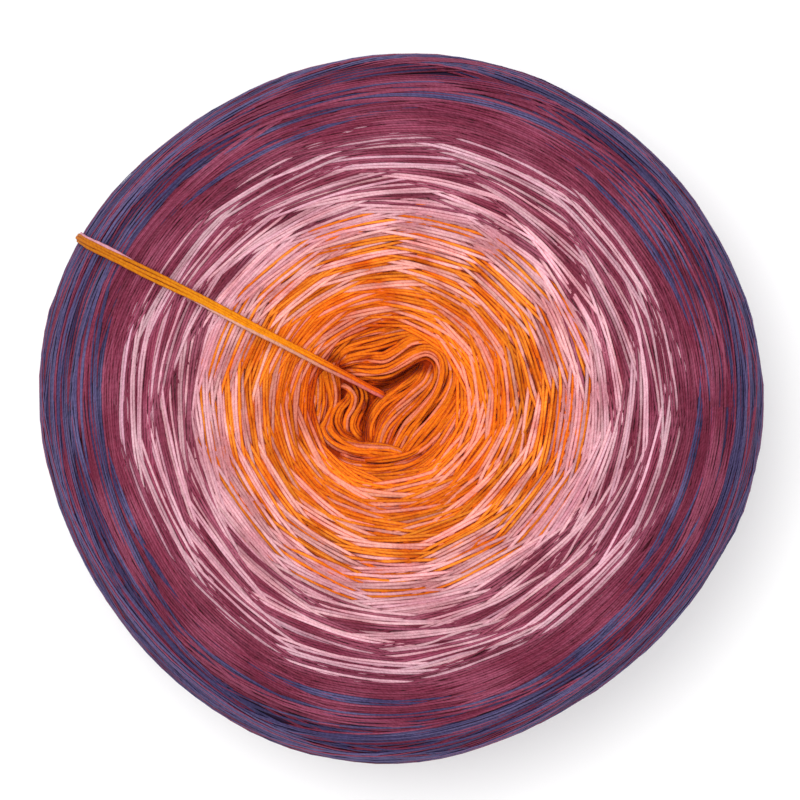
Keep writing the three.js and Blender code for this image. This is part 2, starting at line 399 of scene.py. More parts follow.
# Bundles in the core, from the lowest to the highest: the height of the bundle's crown, its threads' colours
# from the left side to the right side of its way, and its middle line with its width at each point.
CORE_BUNDLES = {
    "crease floor": (0.3, "OOOOPO", [
        (-8.8, 4.1, 3.4), (-5.9, 3.9, 3.4), (-2.3, 4.2, 3.4), (0.3, 5.5, 3.2), (3, 7.5, 3), (5.2, 9.3, 2.6),
    ]),
    "pit floor": (0.2, "OOOPO", [
        (-6.3, 4.6, 3), (-6.8, 1.6, 3.2), (-7.4, -1.6, 3.4), (-7.8, -5, 3.2), (-7.6, -8.4, 3),
    ]),
    "outer left ring": (0.4, "POOPOO", [
        (-17.6, 13, 3), (-18.4, 8, 3), (-18.4, 3, 3), (-18.6, -1.4, 3), (-18.9, -5.6, 3), (-18.2, -9.6, 3),
        (-16, -13.6, 3),
    ]),
    "left ring": (0.7, "POOOPOOO", [
        (-14.6, 13, 3.4), (-16.6, 9, 3.6), (-16.4, 4.6, 3.6), (-16.4, 0.4, 3.6), (-17.2, -3.8, 3.6),
        (-17.4, -8, 3.4), (-15, -12, 3.2),
    ]),
    "inner left ring": (0.8, "OOPOOO", [
        (-12.8, 10.6, 2.6), (-14.2, 7.6, 2.8), (-13.6, 4.2, 2.6), (-13.4, 0.6, 2.6), (-14.4, -2.9, 2.8),
        (-15.8, -6.4, 3), (-14.6, -10, 3),
    ]),
    "top ring": (0.7, "OOPPOOOP", [
        (-17.4, 9.6, 3.4), (-14.6, 13.6, 3.6), (-10.6, 16.2, 3.6), (-5.8, 17.6, 3.6), (-0.6, 18.2, 3.6),
        (4.6, 17.8, 3.4), (9, 16.4, 3.2),
    ]),
    "inner top ring": (0.9, "OPOOOOP", [
        (-14.8, 8.4, 2.8), (-12.2, 11.8, 3), (-8, 14.2, 3.2), (-3.2, 15.6, 3.2), (1.8, 16.2, 3),
        (6.6, 15.8, 3), (10.4, 14, 3),
    ]),
    "curl left": (1.2, "OOOOO", [
        (-9.8, 4.6, 1.4), (-10.6, 1.8, 1.8), (-12.4, -0.2, 2.2), (-13.2, -2.9, 2.4), (-12, -5.3, 2.4),
        (-9.4, -6.6, 2.2), (-5.6, -7.4, 2),
    ]),
    "curl right": (1.7, "OOOO", [
        (-10.4, 6.6, 1.4), (-8.3, 4, 1.7), (-7.7, 1.9, 1.9), (-8.1, 0.1, 2), (-9.2, -1.9, 2),
        (-9.6, -3.8, 1.9), (-8.6, -5.6, 1.7), (-6.6, -7, 1.5),
    ]),
    "curl": (2.2, "PO", [
        (-12.8, 4.6, 0.9), (-10.6, 4, 1), (-9.2, 2.2, 1.2), (-9.6, 0, 1.2), (-10.9, -2, 1.2),
        (-11.2, -4.2, 1.2), (-10.2, -6.2, 1.2),
    ]),
    "beside the tongue": (2, "OOOOOOO", [
        (5.2, 8.8, 1.6), (3.2, 5.6, 2.6), (-0.4, 3, 3.2), (-3.8, 0.8, 3.4), (-5.6, -2.2, 3.2),
        (-6.2, -5.4, 2.8), (-5.8, -8.6, 2.6),
    ]),
    "tongue": (2.6, "OOOPPPOO", [
        (6.8, 8.4, 1.8), (5.4, 4.8, 2.6), (2.2, 1.6, 3.6), (-0.9, -1.3, 4), (-3, -4.2, 3.8),
        (-4.2, -7.6, 3.4), (-4.6, -11, 3),
    ]),
    "hook's outer strands": (2, "OPOOOOPO", [
        (-13.4, 9, 2.4), (-11, 11.1, 2.8), (-7.7, 12.2, 3.2), (-4.1, 13.1, 3.4), (-0.5, 14, 3.4),
        (3, 14.5, 3.2), (6.6, 14.3, 3.2), (9.9, 12.8, 3.4), (12, 10.4, 3.6), (13, 6.9, 3.8),
        (12.3, 3.3, 3.8), (10.2, -0.3, 3.6), (7.3, -3.5, 3.4), (4.8, -6.2, 3.2), (2.6, -8.6, 3),
        (0.6, -11, 2.8),
    ]),
    "hook's middle strands": (2.6, "OOOOPOOO", [
        (-12.2, 8.4, 2), (-9.2, 9.3, 2.6), (-5.9, 9.5, 3), (-3.2, 9.6, 3.2), (-0.6, 11, 3.2),
        (2.1, 12.6, 3), (4.8, 12.9, 3), (7.6, 11.9, 3), (9.8, 9.4, 3.2), (10.4, 5.9, 3.4), (9.2, 2.3, 3.6),
        (6.6, -1.1, 3.6), (3.9, -4.4, 3.4), (1.6, -7.4, 3.2), (-0.6, -10.6, 3),
    ]),
    "hook's inner strands": (3, "OPOOPOO", [
        (-11, 7.2, 2), (-8.2, 7, 2.4), (-5, 6.8, 2.8), (-2.3, 7.3, 2.8), (0.4, 8.8, 2.8), (3, 10.4, 2.6),
        (5.4, 11, 2.4), (7.4, 9.6, 2.6), (7.9, 6.6, 2.8), (6.6, 3, 3.2), (3.9, -0.6, 3.4), (1.2, -3.9, 3.4),
        (-0.8, -7.4, 3.2), (-2.4, -11, 3),
    ]),
    "bottom lip": (1.7, "OPOOOOP", [
        (-15.4, -2, 2), (-14.6, -5, 2.6), (-12.4, -7, 2.8), (-9.2, -8.2, 2.8), (-5.4, -8.8, 2.8),
        (-2, -9.2, 2.8), (1.8, -10.4, 2.6),
    ]),
    "right ring": (1.4, "PPOOPPOOO", [
        (8.6, 17.6, 3.2), (12.8, 13.6, 3.4), (14.6, 8.6, 3.8), (14.2, 4, 4.2), (12.2, -0.2, 4.2),
        (9.4, -4.2, 4.2), (6.2, -7.8, 4), (2.6, -10.4, 3.6), (-1.6, -11.6, 3.4), (-5.8, -11.8, 3.2),
        (-10, -11.2, 3), (-13.6, -9.6, 2.8),
    ]),
    "lower ring": (1.2, "OPOOOPOO", [
        (15.6, 5, 3), (13.4, -0.6, 3.4), (10.6, -5.4, 3.6), (6.8, -9.8, 3.8), (2, -12.8, 3.6),
        (-3.2, -14, 3.4), (-8.2, -13.6, 3.4), (-12.8, -11.8, 3.2), (-16.2, -8.6, 3),
    ]),
    "outer right ring": (0.8, "PPOOOPPOO", [
        (11.6, 19, 3.4), (16.6, 13, 3.6), (17.8, 7.6, 3.8), (17, 2.5, 4), (15.2, -2, 4), (12.2, -6.4, 4),
        (8.6, -10.4, 4), (4.6, -13.6, 3.8), (0, -15.4, 3.6), (-5, -16, 3.4), (-9.8, -15.2, 3.2),
        (-14, -13.2, 3), (-17, -10.2, 2.8),
    ]),
}

CORE_THREAD = 0.72  # a thread's width in the slack core
CREASES_SHOW = 0.8  # how deep the creases stay under the threads that lie in them
CORE_WAVES = [(0.22, 2.9), (0.06, 1.3)]
CROWN_ROUNDNESS = 0.6
BUNDLE_ENDS = 3  # how far from its ends a bundle comes up from under the others
SLIPS = 1.6  # how deep every other thread slips where a bundle narrows, in thread widths
DIPS = 0.3  # how deep each thread dips among the others along its way
DIP_PACE = 3.3  # the length along the thread for each radian of a dip
STRAYS = 0.6  # threads that stray across a bundle, as a share of its own
STRAY_CROWN = 0.5
STRAY_PACE = 3


def bundle_frame(points, step):
    """A bundle's middle line, its length and width along it, and the way to its left side."""
    points = np.array(points)
    line, distance = spline(points[:, :2], step)
    share = np.linspace(0, 1, len(points))
    width = np.interp(np.linspace(0, 1, len(line)), share, points[:, 2])
    way = np.gradient(line, axis=0)
    way /= np.linalg.norm(way, axis=1, keepdims=True)
    return line, distance, width, np.column_stack([-way[:, 1], way[:, 0]])


def lay_core(bed):
    """Lays every bundle of the core, and threads that stray across it."""
    for height, letters, points in CORE_BUNDLES.values():
        line, distance, width, left = bundle_frame(points, bed.CELL)
        count = len(letters)
        lanes = 0.5 - (np.arange(count)[:, None] + 0.5) / count
        phases = random.uniform(0, 2 * math.pi, (count, 3, 1))
        lines = line + (lanes * width + wobbles(distance, CORE_WAVES, phases))[..., None] * left
        slack = np.clip(1 - width / count / (LANE_SHARE * CORE_THREAD), 0, 1)
        slipped = (np.arange(count) % 2)[:, None] * slack
        ends = 1 - smooth(0, BUNDLE_ENDS, distance) * smooth(0, BUNDLE_ENDS, distance[-1] - distance)
        crown = height * np.clip(1 - (2 * lanes) ** 2, 0, 1) ** CROWN_ROUNDNESS * (1 - ends)
        dips = DIPS * (0.5 + 0.5 * np.sin(distance / DIP_PACE + phases[:, 2]))
        crown = crown - SLIPS * CORE_THREAD * slipped - dips
        bed.lay(lines, crown, letters, ends)
        for _ in range(round(STRAYS * count)):
            first, last = random.uniform(-0.5, 0.5, 2)
            drift = first + (last - first) * smooth(0, 1, distance / distance[-1])
            stray = (line + (drift * width)[:, None] * left)[None]
            flat = np.full((1, len(line)), height * STRAY_CROWN) * (1 - ends)
            letter = letters[random.integers(count)]
            dips = DIPS * (1 - ends) * (0.5 + 0.5 * np.sin(distance / STRAY_PACE + first * 9))
            bed.lay(stray, flat, letter, ends + dips)


def settle_core_into(bed, chart):
    """Puts the core's heights on the winding's chart, so that later passes lie on them."""
    inside = ALONG < CORE_EDGE
    turn = np.arange(COLUMNS)[:, None] * COLUMN
    points, _ = place(turn, ALONG[inside][None, :], 0)
    cell = bed.cell(points[..., :2])
    found = bed.top[cell[..., 0], cell[..., 1]] - crease_depth(points[..., 0], points[..., 1])
    chart.top[:, inside] = np.maximum(found, 0)


PASS_SPAN = math.radians(66)  # the longest that a pass reaches to either side of its apex


def arc(inner, apex, straightness, skew, rise):
    """A pass over an end of the cake: its columns, and the length along the section of its middle."""
    columns = np.arange(round((apex - PASS_SPAN) / COLUMN), round((apex + PASS_SPAN) / COLUMN))
    turn = columns * COLUMN - apex
    along = inner * (1 + straightness * (1 / np.cos(turn) - 1)) + skew * inner * turn
    kept = along - inner < rise
    first, last = np.argmax(kept), len(kept) - np.argmax(kept[::-1])
    return columns[first:last], along[first:last]


# Passes over the top and over the foot: the turn from one to the next, their jitter, how near to the middle
# they start, and how densely they lie.
PASS_TURN = math.radians(138.72)
TURN_VARIES = math.radians(0.25)
TURN_PACE = 31  # passes for each radian of the turn's slow change
APEX_DRIFT = math.radians(0.5)
APEX_JITTER = math.radians(1.9)
INNER_JITTER = 0.16
SKEW_JITTER = 0.008
FIRST_PASS = {"top": 15, "foot": 10}
LAST_PASS = 63
PASSES_PER_MM = {"top": 8.5, "foot": 4.6}
STRAIGHT_ALONG = [15, 30, 48, 57, 63]
STRAIGHTNESS = [0.62, 0.6, 0.5, 0.32, 0.15]  # 1 is a straight pass, 0 one round the middle
STRAIGHTNESS_VARIES = (0.95, 1.05)
RISE = (6, 4.4)  # how much farther out than its apex the first and the last pass end
FAMILY = 13  # so many passes later, one lies beside the first again, with its threads turned over
ORDER_CHANGES = 0.05  # the share of passes before which the threads move on by one place
CHANCE_LASTS = 11  # passes between two draws of which of two recipes a pass takes
SECTION_END = 1  # how near to the ends of the section a thread comes


def wind_end(group):
    """Winds the passes that cross one end of the cake, from the core outwards."""
    first = FIRST_PASS[group]
    count = int((LAST_PASS - first) * PASSES_PER_MM[group])
    order = np.arange(THREADS)
    drift = 0
    knots = np.arange(0, count + CHANCE_LASTS, CHANCE_LASTS)
    chances = np.interp(np.arange(count), knots, random.uniform(0, 1, len(knots)))
    for number in range(count):
        inner = first + (LAST_PASS - first) * (number + 0.5) / count + random.normal(0, INNER_JITTER)
        outward = (inner - first) / (LAST_PASS - first)
        straightness = np.interp(inner, STRAIGHT_ALONG, STRAIGHTNESS) * random.uniform(*STRAIGHTNESS_VARIES)
        drift += random.normal(0, APEX_DRIFT) + TURN_VARIES * math.sin(number / TURN_PACE)
        apex = number * PASS_TURN + drift + random.normal(0, APEX_JITTER)
        skew = random.normal(0, SKEW_JITTER)
        columns, along = arc(inner, apex, straightness, skew, np.interp(outward, [0, 1], RISE))
        width = thread_width(inner)
        radius = np.interp(along, ALONG, RADII)
        slope = np.gradient(along) / (radius * COLUMN)
        if random.random() < ORDER_CHANGES:
            order = np.roll(order, 1)
        turned = order[:: 1 - 2 * (number // FAMILY % 2)]
        places = width * lane_places(np.cumsum(radius * COLUMN), turned) * np.sqrt(1 + slope**2)
        lanes = along + places
        letters = recipe(inner, chances[number])
        if group == "foot":
            lanes = LENGTH - lanes
        winding.lay(columns, np.clip(lanes, SECTION_END, LENGTH - SECTION_END), width, letters, group)


# The last turns go round the side. Each is tilted, so that it crosses the top's edge on one side of the cake
# and the foot's edge on the other, and its tilt's bearing moves on from turn to turn.
SIDE_TURNS = 190
TURN_STARTS = (60.5, 70)  # how near to the middle of the top the first and the last turn come
TILT_MOVES = 17.3 / 360
STEEPENS = 0.3  # how much a turn bulges past a plain tilted ring
SIDE_WIDTH = 0.56
SIDE_SPREAD = 1.7  # of the threads to either side of the turn's middle, in lanes
SIDE_TWIST = 0.13  # turns of the threads round each other in a turn round the cake
SIDE_PARTS = ["side_first", "side_middle", "side_last"]
CHANCE_TURNS = 3  # turns that share a chance

# Slow changes from turn to turn, each with its size, its radians for each turn, and where it starts.
TURN_SWAYS = [(4, 2.4, 0), (0.6, 7.3, 1), (0.3, 0.9, 0)]
TILT_SWAYS = [(0.35, 0.61, 0), (0.2, 1.7, 0)]
TWIST_SWAY = (0.8, 2.3)
LANE_SWAY = (0.25, 5.1)


def swayed(values, turns, sways):
    return sum((size * np.sin(turns * pace + start) for size, pace, start in sways), values)


def wind_side():
    columns = np.arange(SIDE_TURNS * COLUMNS + 1)
    turns = columns / COLUMNS
    starts = np.interp(turns, [0, SIDE_TURNS], TURN_STARTS) + TURN_SWAYS[0][0]
    inner = swayed(starts, turns, TURN_SWAYS)
    swing = WIDEST - inner
    angle = swayed(2 * math.pi * turns * (1 - TILT_MOVES), turns, TILT_SWAYS)
    middle = WIDEST - swing * np.cos(angle) * (1 + STEEPENS * np.sin(angle) ** 2)
    radius = np.interp(middle, ALONG, RADII)
    slope = np.gradient(middle) / (radius * COLUMN)
    number = np.arange(THREADS)[:, None]
    twist = 2 * math.pi * (turns * SIDE_TWIST + number / THREADS)
    twist = twist + TWIST_SWAY[0] * np.sin(turns * TWIST_SWAY[1])
    places = SIDE_SPREAD * np.sin(twist) + LANE_SWAY[0] * np.sin(turns * LANE_SWAY[1] + number)
    along = middle + places * SIDE_WIDTH * LANE_SHARE * np.sqrt(1 + slope**2)
    chances = random.random(SIDE_TURNS)
    joins = None
    for turn in range(SIDE_TURNS):
        part = slice(turn * COLUMNS, (turn + 1) * COLUMNS + 1)
        letters = recipe(inner[part].mean(), chances[turn // CHANCE_TURNS])
        group = SIDE_PARTS[len(SIDE_PARTS) * turn // SIDE_TURNS]
        dive = (END_DIVE * (turn == 0), END_DIVE * (turn == SIDE_TURNS - 1))
        lift = winding.lay(columns[part], along[:, part], SIDE_WIDTH, letters, group, dive, joins)
        joins = lift[:, -1]


bed = CoreBed()
lay_core(bed)
settle_core_into(bed, winding)
wind_end("top")
wind_end("foot")
wind_side()

# How thick the wound layers are round each place, so that the finished surface keeps the cake's form.
THICKNESS_BLUR = (math.radians(6), 2)
thickness = blur_rows(blur_columns(winding.top, THICKNESS_BLUR[0]), THICKNESS_BLUR[1])
thickness = CORE_LAYERS + (thickness - CORE_LAYERS) * smooth(CORE_EDGE - 6, CORE_EDGE + 1, ALONG)


def thickness_at(column, along):
    row = np.clip(along / ROW, 0, ROWS - 1.001)
    low = row.astype(int)
    share = row - low
    around = column % COLUMNS
    return thickness[around, low] * (1 - share) + thickness[around, low + 1] * share


# Tension presses the layers together, the more the farther out they lie: this much of their relief stays,
# what stands proud of the cake's form nears this height, and what lies in a hollow nears this depth.
RELIEF_ALONG = [20, 42, 60]
RELIEF = [0.95, 0.9, 0.8]
PROUD_ALONG = [14, 20]
PROUD = [5, 0.55]
HOLLOW = [3, 0.4]


def pressed(high, column, along):
    """How high over the cake's finished form something lies that is this high on what was wound first."""
    relief = np.interp(np.minimum(along, LENGTH - along), RELIEF_ALONG, RELIEF)
    proud = np.interp(along, PROUD_ALONG, PROUD)
    over = (high - thickness_at(column, along)) * relief
    hollow = np.interp(along, PROUD_ALONG, HOLLOW)
    return np.where(over > 0, proud * np.tanh(over / proud), hollow * np.tanh(over / hollow))


# A thread's width changes by this share, in waves of so many radians from one ring of its tube to the next.
UNEVEN_WIDTH = 0.08
BULGE_PACE = (0.5, 2.5)
PLY_STARTS = (0, 50)  # where along a thread its plies begin

# Where the edges of a thread's faces are round it, in degrees from one side over its top, by their number.
TUBE_SIDES = {
    4: [0, 65, 115, 180],
    5: [0, 60, 120, 180, 270],
    8: [0, 45, 90, 135, 180, 225, 270, 315],
}


class TubeMesh:
    """Collects strands as many-sided tubes and makes one mesh of them."""

    def __init__(self, name, sides):
        self.name = name
        self.sides = sides
        self.points, self.normals, self.colours, self.widths = [], [], [], []
        self.lengths, self.shown = [], []

    def add(self, points, normals, colour, width, shown=None):
        if len(points) < 2:
            return
        self.points.append(points)
        self.normals.append(normals)
        bulges = np.sin(np.arange(len(points)) * random.uniform(*BULGE_PACE) + random.uniform(0, 6))
        self.widths.append(width * (1 + UNEVEN_WIDTH * bulges))
        self.colours.append(np.broadcast_to(colour, (len(points), 3)))
        steps = np.linalg.norm(np.diff(points, axis=0), axis=1)
        self.lengths.append(np.concatenate([[0], np.cumsum(steps)]) + random.uniform(*PLY_STARTS))
        linked = np.ones(len(points), bool) if shown is None else shown.copy()
        linked[-1] = False
        self.shown.append(linked)

    def build(self, material, floor=None):
        points = np.concatenate(self.points)
        normals = np.concatenate(self.normals)
        colours = np.concatenate(self.colours)
        lengths = np.concatenate(self.lengths)
        linked = np.concatenate(self.shown)
        ways = np.concatenate([np.gradient(p, axis=0) for p in self.points])
        ways /= np.linalg.norm(ways, axis=1, keepdims=True) + TINY
        across = np.cross(ways, normals)
        across /= np.linalg.norm(across, axis=1, keepdims=True) + TINY
        upward = np.cross(across, ways)
        sides = self.sides
        turn = np.radians(TUBE_SIDES[sides])
        half = np.concatenate(self.widths)[:, None, None] / 2
        ring = (
            points[:, None, :]
            + across[:, None, :] * half * np.cos(turn)[None, :, None]
            + upward[:, None, :] * half * FLATNESS * np.sin(turn)[None, :, None]
        )
        if floor is not None:
            ring[..., 2] = np.maximum(ring[..., 2], floor)
        used = linked.copy()
        used[1:] |= linked[:-1]
        number = np.cumsum(used) - 1
        first = number[np.nonzero(linked)[0]]
        this, after = first[:, None] * sides, (first[:, None] + 1) * sides
        i = np.arange(sides)
        k = (i + 1) % sides
        quads = np.stack([this + i, this + k, after + k, after + i], axis=-1).reshape(-1, 4)
        vertices = ring[used].reshape(-1, 3) * MM
        mesh = mesh_from(self.name, vertices, quads)
        add_colour(mesh, np.repeat(colours[used], sides, axis=0))
        add_ply(mesh, lengths[used][:, None], turn / (2 * math.pi))
        return add_piece(mesh, material)


def mesh_from(name, vertices, quads):
    mesh = bpy.data.meshes.new(name)
    mesh.vertices.add(len(vertices))
    mesh.vertices.foreach_set("co", vertices.astype(np.float32).ravel())
    mesh.loops.add(quads.size)
    mesh.loops.foreach_set("vertex_index", quads.astype(np.int32).ravel())
    mesh.polygons.add(len(quads))
    mesh.polygons.foreach_set("loop_start", np.arange(0, quads.size, 4, dtype=np.int32))
    mesh.update(calc_edges=True)
    mesh.shade_smooth()
    return mesh


def add_colour(mesh, colours):
    layer = mesh.color_attributes.new("thread", "FLOAT_COLOR", "POINT")
    full = np.ones((len(colours), 4), np.float32)
    full[:, :3] = colours
    layer.data.foreach_set("color", full.ravel())


def add_ply(mesh, lengths, turns):
    """Gives each point its length along the thread, in millimetres, and its place round it, in turns."""
    layer = mesh.attributes.new("ply", "FLOAT_VECTOR", "POINT")
    lengths, turns = np.broadcast_arrays(lengths, turns)
    values = np.stack([lengths, turns, np.zeros(lengths.shape)], axis=-1)
    layer.data.foreach_set("vector", values.astype(np.float32).ravel())


def add_piece(mesh, material):
    mesh.materials.append(material)
    piece = bpy.data.objects.new(mesh.name, mesh)
    bpy.context.scene.collection.objects.link(piece)
    return piece


# The yarn's material: each thread's own colour, its two plies as fine slanting grooves, and a soft fibrous
# surface. Between two threads and in the grooves of its plies little light comes down: painted shade makes
# each thread darker and richer towards its sides than along its back, and in its grooves.
PLY_PITCH = 2.4
PLIES = 2
PLY_SHIFTS = 1.2  # turns by which the mottle shifts the plies
SHARPNESS = 3  # of the grooves and of the sides
MOTTLE = {"Scale": 650, "Detail": 4}
FIBRES = {"Scale": 5200, "Detail": 2}
BRIGHTNESS = 1.43
GROOVE_PAINTED_SHADE = 0.03
FIBRES_DARKEN = 0.66
MOTTLE_DARKENS = 0.42
SIDES_PAINTED_SHADE = 0.12
SIDES_ENRICH = 0.9
GROOVE_ENRICHES = 0.1
GROOVE_RELIEF = 0.35
BUMP_STRENGTH = 0.8
BUMP_HEIGHT = 0.045
GLOSS = {"Roughness": 0.85, "Specular IOR Level": 0.06, "Sheen Weight": 0.04, "Sheen Roughness": 0.45}


def add_node(tree, kind, **settings):
    made = tree.nodes.new(kind)
    for name, value in settings.items():
        setattr(made, name, value)
    return made


def maths(tree, operation, *values):
    """A math node on sockets or numbers, and its result."""
    made = add_node(tree, "ShaderNodeMath", operation=operation)
    for socket, value in zip(made.inputs, values):
        if isinstance(value, (int, float)):
            socket.default_value = value
        else:
            tree.links.new(value, socket)
    return made.outputs[0]


def set_inputs(node, values):
    for name, value in values.items():
        node.inputs[name].default_value = value


def noise(tree, where, settings):
    made = add_node(tree, "ShaderNodeTexNoise")
    set_inputs(made, settings)
    tree.links.new(where, made.inputs["Vector"])
    return made.outputs[0]


def yarn_material(name):
    material = bpy.data.materials.new(name)
    material.use_nodes = True
    tree = material.node_tree
    shader = tree.nodes["Principled BSDF"]
    colour = add_node(tree, "ShaderNodeAttribute", attribute_name="thread").outputs["Color"]
    ply = add_node(tree, "ShaderNodeAttribute", attribute_name="ply").outputs["Vector"]
    parts = add_node(tree, "ShaderNodeSeparateXYZ")
    tree.links.new(ply, parts.inputs[0])
    length, turn = parts.outputs[0], parts.outputs[1]
    where = add_node(tree, "ShaderNodeTexCoord").outputs["Object"]
    mottle = noise(tree, where, MOTTLE)
    fibres = noise(tree, where, FIBRES)
    phase = maths(tree, "ADD", maths(tree, "DIVIDE", length, PLY_PITCH), turn)
    uneven = maths(tree, "MULTIPLY_ADD", mottle, PLY_SHIFTS, phase)
    wave = maths(tree, "COSINE", maths(tree, "MULTIPLY", uneven, 2 * PLIES * math.pi))
    # The plies' grooves: relief in the bump, and painted shade in the colour.
    groove = maths(tree, "POWER", maths(tree, "MULTIPLY_ADD", wave, 0.5, 0.5), SHARPNESS)
    # Painted shade, darker and richer towards the thread's sides.
    aside = maths(tree, "ABSOLUTE", maths(tree, "MULTIPLY_ADD", turn, 4, -1))
    side = maths(tree, "POWER", maths(tree, "MINIMUM", aside, 1), SHARPNESS)
    richness = maths(tree, "MULTIPLY_ADD", side, SIDES_ENRICH, 1)
    richness = maths(tree, "MULTIPLY_ADD", groove, GROOVE_ENRICHES, richness)
    rich = add_node(tree, "ShaderNodeGamma")
    tree.links.new(colour, rich.inputs["Color"])
    tree.links.new(richness, rich.inputs["Gamma"])
    shade = BRIGHTNESS
    shares = [GROOVE_PAINTED_SHADE, FIBRES_DARKEN, MOTTLE_DARKENS, SIDES_PAINTED_SHADE]
    for source, share in zip([groove, fibres, mottle, side], shares):
        shade = maths(tree, "SUBTRACT", shade, maths(tree, "MULTIPLY", source, share))
    tint = add_node(tree, "ShaderNodeVectorMath", operation="SCALE")
    tree.links.new(rich.outputs[0], tint.inputs[0])
    tree.links.new(shade, tint.inputs["Scale"])
    tree.links.new(tint.outputs[0], shader.inputs["Base Color"])
    bump = add_node(tree, "ShaderNodeBump")
    set_inputs(bump, {"Strength": BUMP_STRENGTH, "Distance": BUMP_HEIGHT * MM})
    relief = maths(tree, "SUBTRACT", fibres, maths(tree, "MULTIPLY", groove, GROOVE_RELIEF))
    tree.links.new(relief, bump.inputs["Height"])
    tree.links.new(bump.outputs[0], shader.inputs["Normal"])
    set_inputs(shader, GLOSS)
    return material


yarn = yarn_material("yarn")
loose_yarn = yarn_material("loose_yarn")
LINEAR = {letter: np.array([linear_colour(code) for code in codes]) for letter, codes in COLOURS.items()}

# How much the threads' colours vary: from pass to pass, in hue, and from the lightest thread downwards.
PASSES_VARY = 0.1
HUE_VARIES = 0.015
LIGHTEST = 1.1
TONE_VARIES = 0.26

# A thread that lies in a hollow gets little light, and what it gets has its own colour: painted shade darkens
# and enriches the colour of a thread in a hollow, and painted light brightens one on a crest.
RELIEF_SHADED = 0.35
HOLLOW_DARKENS = 0.14
HOLLOW_ENRICHES = 0.4


def colour_at(letter, along):
    return np.stack([np.interp(along, COLOUR_ALONG, LINEAR[letter][:, k]) for k in range(3)], axis=-1)


def paint_shade_by_height(colour, level, darkens=HOLLOW_DARKENS):
    """Colours with painted shade and light for heights over the surface, from -1 in a hollow to 1 on a crest.
    """
    level = np.clip(level, -1, 1)[:, None]
    return colour ** (1 - HOLLOW_ENRICHES * np.minimum(level, 0)) * (1 + darkens * level)


def thread_colour(letter, along):
    """A thread's colour, a little lighter or darker than the next one's."""
    hue = random.normal(0, HUE_VARIES, 3)
    return colour_at(letter, along) * (LIGHTEST - TONE_VARIES * random.random() ** 2) * (1 + hue)


# How far apart the rings of the wound threads' tubes are, and how many sides the tubes of each piece have.
TUBE_STEPS = {"top": 2.2, "foot": 4} | dict.fromkeys(SIDE_PARTS, 4.4)
PIECE_SIDES = {"orange": 5, "pale": 5, "wine": 5} | dict.fromkeys(SIDE_PARTS, 4) | {"foot": 4}

# How far out the passes of the orange and of the pale piece come nearest to the core.
ORANGE_REACH = 33
PALE_REACH = 48

SHORT_RUN = 3  # rings
PEEPING = (0.1, 0.28)  # how deep pale threads lie that fade into what is round them
PALE_SWELLS = 1.1  # a pale thread's width as a share of the others'
LOWEST = 0.02  # how high over the floor the lowest threads keep


def short_runs(shown):
    """Marks the places where a strand shows for only a little way between others."""
    changes = np.flatnonzero(np.diff(np.concatenate([[False], shown, [False]]).astype(int)))
    marked = np.zeros(len(shown), bool)
    for first, last in changes.reshape(-1, 2):
        if last - first <= SHORT_RUN:
            marked[max(first - 1, 0) : last + 1] = True
    return marked


def build_windings():
    """Makes the wound strands' meshes, leaving out what lies buried under others."""
    meshes = {name: TubeMesh("winding_" + name, sides) for name, sides in PIECE_SIDES.items()}
    tones = 1 + PASSES_VARY * random.uniform(-1, 1, len(winding.strands) // THREADS + 1)
    for number, (group, letter, width, columns, along, lift) in enumerate(winding.strands):
        radius = np.interp(along.mean(), ALONG, RADII)
        stride = max(1, round(TUBE_STEPS[group] / (radius * COLUMN)))
        picks = np.unique(np.append(np.arange(0, len(columns), stride), len(columns) - 1))
        column, where, high = columns[picks], along[picks], lift[picks]
        row = np.clip((where / ROW).astype(int), 1, ROWS - 2)
        over = winding.top[column % COLUMNS, row] - (high + FLATNESS * width / 2)
        shown = over < BURIED
        linked = shown.copy()
        linked[:-1] |= shown[1:]
        over_form = pressed(high, column, where)
        points, normals = place(column * COLUMN, where, over_form)
        name = group
        if group == "top":
            inner = where.min()
            name = "orange" if inner < ORANGE_REACH else "pale" if inner < PALE_REACH else "wine"
        nearest = np.minimum(where, LENGTH - where)
        colour = thread_colour(letter, nearest)
        fades = short_runs(shown).astype(float)
        if letter == "P":
            fades = np.maximum(fades, smooth(*PEEPING, over))
            fades[short_runs(fades < 0.5)] = 1
        if fades.any():
            middle = nearest[fades > 0].mean()
            colour += (thread_colour(recipe(middle)[1], nearest) - colour) * fades[:, None]
        # Painted shade on threads lying low, painted light on those lying high.
        colour = paint_shade_by_height(colour * tones[number // THREADS], over_form / RELIEF_SHADED)
        meshes[name].add(points, normals, colour, width * (PALE_SWELLS if letter == "P" else 1), linked)
    return [tubes.build(yarn, LOWEST) for tubes in meshes.values()]


def on_chart(x, y):
    """The column and the length along the section of a place on the top near the core."""
    radius = np.hypot(x, y)
    for _ in range(6):  # each round comes nearer to the ring whose drift fits
        drift = core_drift(radius)
        right, up = x - CORE_CENTRE[0] * drift, y - CORE_CENTRE[1] * drift
        radius = np.hypot(right, up)
    return np.round(np.arctan2(up, right) / COLUMN).astype(int), radius


# Painted light and shade on a thread in the core: how the light falls on it with its height over the places
# round it, so far away, and with the depth of the crease and of the bowl that it lies in.
AROUND = 2.4
CORE_AROUND = [(AROUND * math.cos(k * math.pi / 4), AROUND * math.sin(k * math.pi / 4)) for k in range(8)]
CORE_RELIEF_SHADED = 1.2
CREASE_SHADED = 3
BOWL_SHADED = 30
CORE_LIGHT = 0.3
CORE_DARKENS = 0.13
CORE_STEP = 0.8


def core_level(x, y, lift):
    """How high a thread in the core lies over what is round it, for its painted light and shade, from -1 to 1.
    """
    nearby = [bed.top[tuple(bed.cell(np.column_stack([x + dx, y + dy])).T)] for dx, dy in CORE_AROUND]
    above = (lift - np.mean(nearby, axis=0)) / CORE_RELIEF_SHADED
    return above - crease_depth(x, y) / CREASE_SHADED - sunk(x, y) / BOWL_SHADED + CORE_LIGHT


